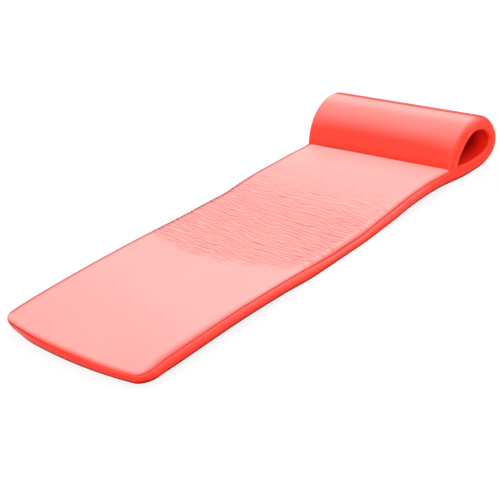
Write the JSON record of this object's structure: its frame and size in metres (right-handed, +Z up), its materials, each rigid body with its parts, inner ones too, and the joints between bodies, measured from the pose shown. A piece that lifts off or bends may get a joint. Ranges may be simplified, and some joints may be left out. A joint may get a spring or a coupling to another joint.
{
  "type": "foam pool float",
  "caption": "Flat vinyl-coated foam pool mat with a bowed foot edge and gentle waves, its head end rolled over and bonded down as an open headrest.",
  "frame": {"origin": "centre of the footprint, on the surface that the float lies on", "axes": "+X across the mat, +Y from the foot edge to the rolled headrest, +Z up"},
  "size_m": [0.6656, 1.8286, 0.2001],
  "materials": {
    "foam": "raw closed-cell foam, hidden under the coat",
    "top_vinyl": "coral red vinyl, satin, fine cross wrinkles",
    "wrap_vinyl": "coral red vinyl, satin",
    "lining_vinyl": "coral red vinyl, satin",
    "glue": "cured contact glue"
  },
  "bodies": {
    "root": {"foam_slab": "foam", "top_skin": "top_vinyl", "wrap_skin": "wrap_vinyl", "roll_skin": "wrap_vinyl", "tunnel_lining": "lining_vinyl", "lip_bond": "glue"}
  },
  "joints": []
}
